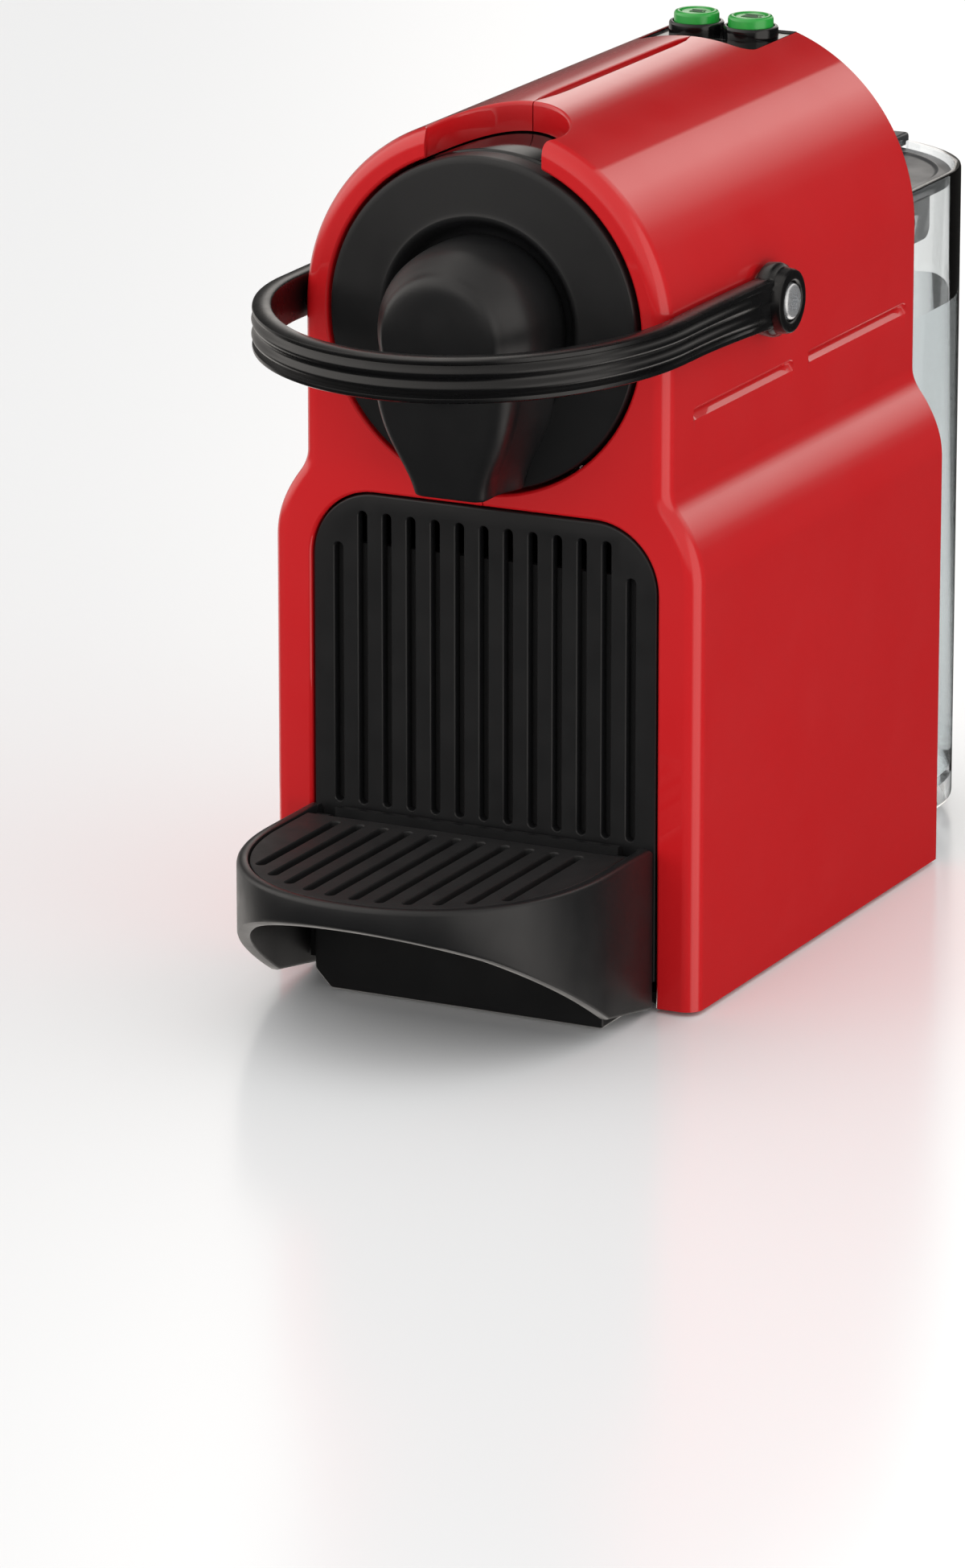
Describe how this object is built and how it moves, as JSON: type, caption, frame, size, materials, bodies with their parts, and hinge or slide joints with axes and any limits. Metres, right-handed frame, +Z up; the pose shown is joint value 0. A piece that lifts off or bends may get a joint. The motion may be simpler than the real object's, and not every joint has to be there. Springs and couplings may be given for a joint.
{
  "type": "capsule espresso machine",
  "caption": "Compact capsule espresso machine: arched red housing, round brew head with a loop lever, ribbed cup stand, folding drip tray and clear lift-off water tank.",
  "frame": {"origin": "on the table, under the middle of the machine's bounding box", "axes": "+X to the right as seen from the front, +Y to the back where the water tank is, +Z up"},
  "size_m": [0.12, 0.3078, 0.2273],
  "materials": {
    "red_shell": "high gloss moulded plastic",
    "black_satin": "satin moulded plastic",
    "black_matt": "fine matt moulded plastic",
    "black_gloss": "gloss moulded plastic",
    "green_button": "translucent green button cap",
    "screw_steel": "zinc plated",
    "clear_tank": "clear moulded plastic",
    "dark_grey": "satin moulded plastic",
    "rubber": "matt rubber",
    "nylon": "natural nylon",
    "aluminium": "as cast",
    "silicone": "translucent silicone",
    "circuit_board": "solder resist"
  },
  "bodies": {
    "body": {"housing_left": "red_shell", "housing_right": "red_shell", "rear_panel": "black_matt", "cable_inlet": "rubber", "base_plate": "black_matt", "foot_front_left": "rubber", "foot_front_right": "rubber", "foot_rear_left": "rubber", "foot_rear_right": "rubber", "foot_dock_left": "rubber", "foot_dock_right": "rubber", "tank_dock": "black_matt", "front_disc": "black_satin", "coffee_outlet": "black_satin", "outlet_nozzle": "black_gloss", "needle_plate": "aluminium", "brew_frame": "nylon", "button_panel": "black_gloss", "control_board": "circuit_board", "power_board": "circuit_board", "pump": "nylon", "thermoblock": "aluminium", "suction_hose": "silicone", "feed_hose": "silicone", "brew_hose": "silicone", "pivot_bush_left": "nylon", "pivot_bush_right": "nylon"},
    "lever": {"lever": "black_satin", "pivot_screw_left": "screw_steel", "pivot_screw_right": "screw_steel"},
    "brew_carriage": {"brew_chamber": "aluminium", "capsule_shutter": "black_gloss"},
    "espresso_button": {"button_espresso": "green_button"},
    "lungo_button": {"button_lungo": "green_button"},
    "service_unit": {"grille_panel": "black_satin", "capsule_container": "black_matt", "drip_collector": "black_satin"},
    "tray": {"drip_tray": "black_satin"},
    "grid": {"drip_grid": "black_matt"},
    "tank": {"water_tank": "clear_tank", "tank_valve": "nylon"},
    "lid": {"tank_lid": "dark_grey"}
  },
  "joints": [
    {"name": "lever_lift", "type": "hinge", "parent": "body", "child": "lever", "pos_m": [0, -0.01785, 0.1735], "axis": [-1, 0, 0], "range_deg": [0, 104]},
    {"name": "brew_travel", "type": "slide", "parent": "body", "child": "brew_carriage", "axis": [0, 1, 0], "range_m": [0, 0.019]},
    {"name": "espresso_press", "type": "slide", "parent": "body", "child": "espresso_button", "axis": [0, 0, -1], "range_m": [0, 0.0015], "stiffness_N_per_m": 900, "springref_m": -0.0006},
    {"name": "lungo_press", "type": "slide", "parent": "body", "child": "lungo_button", "axis": [0, 0, -1], "range_m": [0, 0.0015], "stiffness_N_per_m": 900, "springref_m": -0.0006},
    {"name": "service_slide", "type": "slide", "parent": "body", "child": "service_unit", "axis": [0, -1, 0], "range_m": [0, 0.1]},
    {"name": "tray_fold", "type": "hinge", "parent": "service_unit", "child": "tray", "pos_m": [0, -0.08065, 0.0386], "axis": [1, 0, 0], "range_deg": [-90, 0]},
    {"name": "grid_lift", "type": "slide", "parent": "tray", "child": "grid", "axis": [0, 0, 1], "range_m": [0, 0.03]},
    {"name": "tank_lift", "type": "slide", "parent": "body", "child": "tank", "axis": [0, 0, 1], "range_m": [0, 0.12]},
    {"name": "lid_open", "type": "hinge", "parent": "tank", "child": "lid", "pos_m": [0, 0.09185, 0.17], "axis": [1, 0, 0], "range_deg": [0, 90]}
  ],
  "couplings": [
    {"joint": "brew_travel", "follows": "lever_lift", "m_per_rad": 0.01046}
  ]
}
